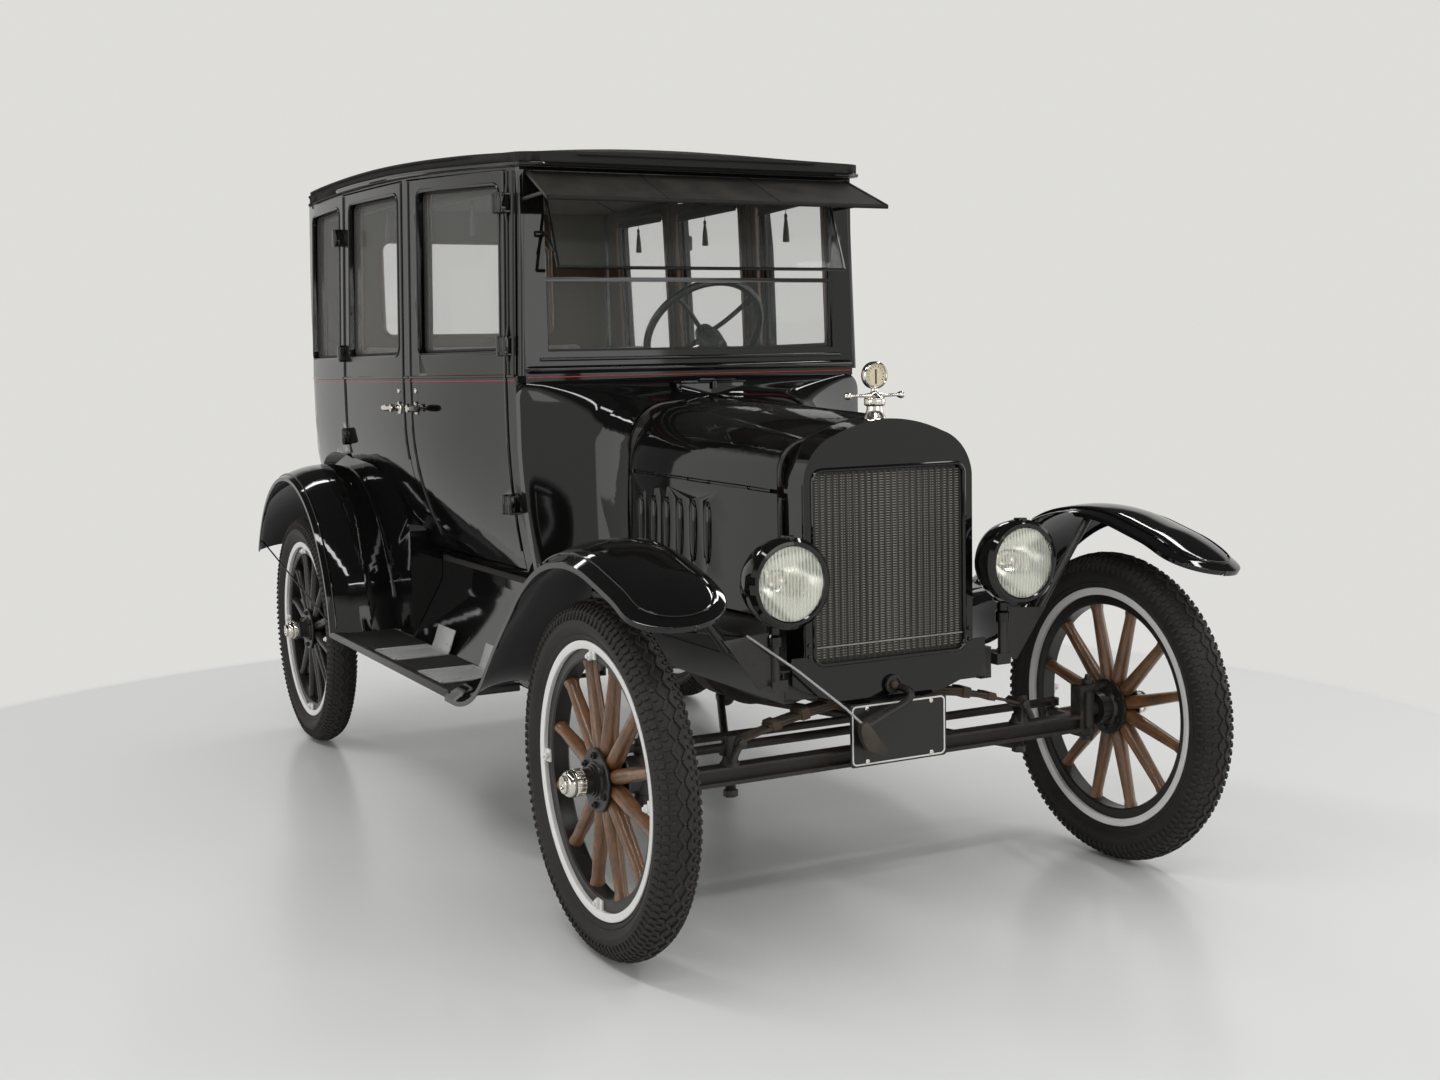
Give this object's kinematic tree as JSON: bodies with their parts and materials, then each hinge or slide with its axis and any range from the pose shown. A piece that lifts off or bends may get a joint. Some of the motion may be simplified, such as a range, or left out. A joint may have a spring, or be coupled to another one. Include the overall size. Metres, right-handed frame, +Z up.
{
  "type": "four-door sedan car",
  "caption": "Tall black 1920s closed car with wooden-spoked wheels, opening doors and hood, steering front wheels, running boards, drum headlamps and a sun visor.",
  "frame": {"origin": "on the ground under the middle of the overall box", "axes": "+X to the car's left-hand side, -Y forward, +Z up"},
  "size_m": [1.632, 3.435, 1.9609],
  "materials": {
    "tyre_rubber": "matte, dusty",
    "brown_wood": "varnished",
    "black_wood": "gloss paint",
    "rusty_steel": "rusty",
    "grimy_iron": "oily grime over black",
    "black_gloss": "gloss",
    "hand_wheel": "gloss",
    "window_glass": "clear",
    "lens_glass": "fluted",
    "roof_cloth": "matte",
    "leatherette": "grained",
    "floor_wood": "worn",
    "seat_cloth": "woven",
    "core_brass": "dark, dusty",
    "nickel": "polished",
    "board_steel": "ribbed",
    "plate_black": "gloss"
  },
  "bodies": {
    "car": {"springs": "rusty_steel", "front_axle": "grimy_iron", "rear_axle": "grimy_iron", "frame": "grimy_iron", "engine": "grimy_iron", "exhaust": "grimy_iron", "steering_column": "black_gloss", "door_posts": "black_gloss", "rear_body": "black_gloss", "roof": "roof_cloth", "windscreen_frame": "black_gloss", "fixed_glass": "window_glass", "sun_visor": "leatherette", "cowl": "black_gloss", "floor": "floor_wood", "seats": "seat_cloth", "radiator_shell": "black_gloss", "radiator_core": "core_brass", "radiator_cap": "nickel", "front_fenders": "black_gloss", "rear_fenders": "black_gloss", "running_boards": "board_steel", "splash_aprons": "black_gloss", "headlamps": "black_gloss", "headlamp_lenses": "lens_glass", "crank_handle": "rusty_steel", "number_plate": "plate_black"},
    "door_front_left": {"door_front_left": "black_gloss", "glass_front_left": "window_glass"},
    "door_front_right": {"door_front_right": "black_gloss", "glass_front_right": "window_glass"},
    "door_rear_left": {"door_rear_left": "black_gloss", "glass_rear_left": "window_glass"},
    "door_rear_right": {"door_rear_right": "black_gloss", "glass_rear_right": "window_glass"},
    "hood_top_left": {"hood_top_left": "black_gloss"},
    "hood_side_left": {"hood_side_left": "black_gloss"},
    "knuckle_left": {"knuckle_left": "grimy_iron"},
    "hood_top_right": {"hood_top_right": "black_gloss"},
    "hood_side_right": {"hood_side_right": "black_gloss"},
    "knuckle_right": {"knuckle_right": "grimy_iron"},
    "wheel_front_left": {"tyre_front_left": "tyre_rubber", "wheel_front_left": "brown_wood"},
    "wheel_front_right": {"tyre_front_right": "tyre_rubber", "wheel_front_right": "brown_wood"},
    "wheel_rear_left": {"tyre_rear_left": "tyre_rubber", "wheel_rear_left": "black_wood"},
    "wheel_rear_right": {"tyre_rear_right": "tyre_rubber", "wheel_rear_right": "black_wood"},
    "tie_rod": {"tie_rod": "grimy_iron"},
    "drag_link": {"drag_link": "grimy_iron"},
    "pitman_arm": {"pitman_arm": "grimy_iron"},
    "steering_wheel": {"steering_wheel": "hand_wheel"}
  },
  "joints": [
    {"name": "steer_right", "type": "hinge", "parent": "car", "child": "knuckle_right", "pos_m": [-0.625, -1.3, 0.396], "axis": [0, 0, 1], "range_deg": [-30, 30]},
    {"name": "steer_left", "type": "hinge", "parent": "car", "child": "knuckle_left", "pos_m": [0.625, -1.3, 0.396], "axis": [0, 0, 1], "range_deg": [-30, 30]},
    {"name": "tie_rod_end", "type": "hinge", "parent": "knuckle_right", "child": "tie_rod", "pos_m": [-0.625, -1.16, 0.392], "axis": [0, 0, 1], "range_deg": [-30, 30]},
    {"name": "drag_link_end", "type": "hinge", "parent": "knuckle_right", "child": "drag_link", "pos_m": [-0.625, -1.16, 0.42], "axis": [0, 0, 1], "range_deg": [-30, 30]},
    {"name": "pitman_turn", "type": "hinge", "parent": "car", "child": "pitman_arm", "pos_m": [0.245, -1.0624, 0.51499], "axis": [0, -0.788, -0.6157], "range_deg": [-40, 40]},
    {"name": "steering_wheel_turn", "type": "hinge", "parent": "car", "child": "steering_wheel", "pos_m": [0.245, 0.055, 1.388], "axis": [0, -0.788, -0.6157], "range_deg": [-135, 135]},
    {"name": "wheel_front_left_spin", "type": "hinge", "parent": "knuckle_left", "child": "wheel_front_left", "pos_m": [0.711, -1.3, 0.396], "axis": [1, 0, 0], "continuous": true},
    {"name": "wheel_front_right_spin", "type": "hinge", "parent": "knuckle_right", "child": "wheel_front_right", "pos_m": [-0.711, -1.3, 0.396], "axis": [1, 0, 0], "continuous": true},
    {"name": "wheel_rear_left_spin", "type": "hinge", "parent": "car", "child": "wheel_rear_left", "pos_m": [0.711, 1.24, 0.396], "axis": [1, 0, 0], "continuous": true},
    {"name": "wheel_rear_right_spin", "type": "hinge", "parent": "car", "child": "wheel_rear_right", "pos_m": [-0.711, 1.24, 0.396], "axis": [1, 0, 0], "continuous": true},
    {"name": "door_front_left_hinge", "type": "hinge", "parent": "car", "child": "door_front_left", "pos_m": [0.54472, -0.2935, 1.3], "axis": [0, 0, -1], "range_deg": [0, 70]},
    {"name": "door_front_right_hinge", "type": "hinge", "parent": "car", "child": "door_front_right", "pos_m": [-0.54472, -0.2935, 1.3], "axis": [0, 0, 1], "range_deg": [0, 70]},
    {"name": "door_rear_left_hinge", "type": "hinge", "parent": "car", "child": "door_rear_left", "pos_m": [0.6509, 0.9685, 1.4], "axis": [0, 0, 1], "range_deg": [0, 70]},
    {"name": "door_rear_right_hinge", "type": "hinge", "parent": "car", "child": "door_rear_right", "pos_m": [-0.6509, 0.9685, 1.4], "axis": [0, 0, -1], "range_deg": [0, 70]},
    {"name": "hood_top_left_hinge", "type": "hinge", "parent": "car", "child": "hood_top_left", "pos_m": [0, -0.9015, 1.179], "axis": [0, -0.9988, -0.0494], "range_deg": [0, 75]},
    {"name": "hood_top_right_hinge", "type": "hinge", "parent": "car", "child": "hood_top_right", "pos_m": [0, -0.9015, 1.179], "axis": [0, 0.9988, 0.0494], "range_deg": [0, 75]},
    {"name": "hood_side_left_hinge", "type": "hinge", "parent": "hood_top_left", "child": "hood_side_left", "pos_m": [0.266, -0.9015, 1.004], "axis": [-0.0607, -0.9978, -0.0254], "range_deg": [0, 70]},
    {"name": "hood_side_right_hinge", "type": "hinge", "parent": "hood_top_right", "child": "hood_side_right", "pos_m": [-0.266, -0.9015, 1.004], "axis": [-0.0607, 0.9978, 0.0254], "range_deg": [0, 70]}
  ],
  "couplings": [
    {"joint": "steer_left", "follows": "steer_right", "ratio": 1},
    {"joint": "tie_rod_end", "follows": "steer_right", "ratio": -1},
    {"joint": "drag_link_end", "follows": "steer_right", "ratio": -1},
    {"joint": "pitman_turn", "follows": "steer_right", "ratio": -1.3333},
    {"joint": "steering_wheel_turn", "follows": "steer_right", "ratio": -4.5}
  ]
}
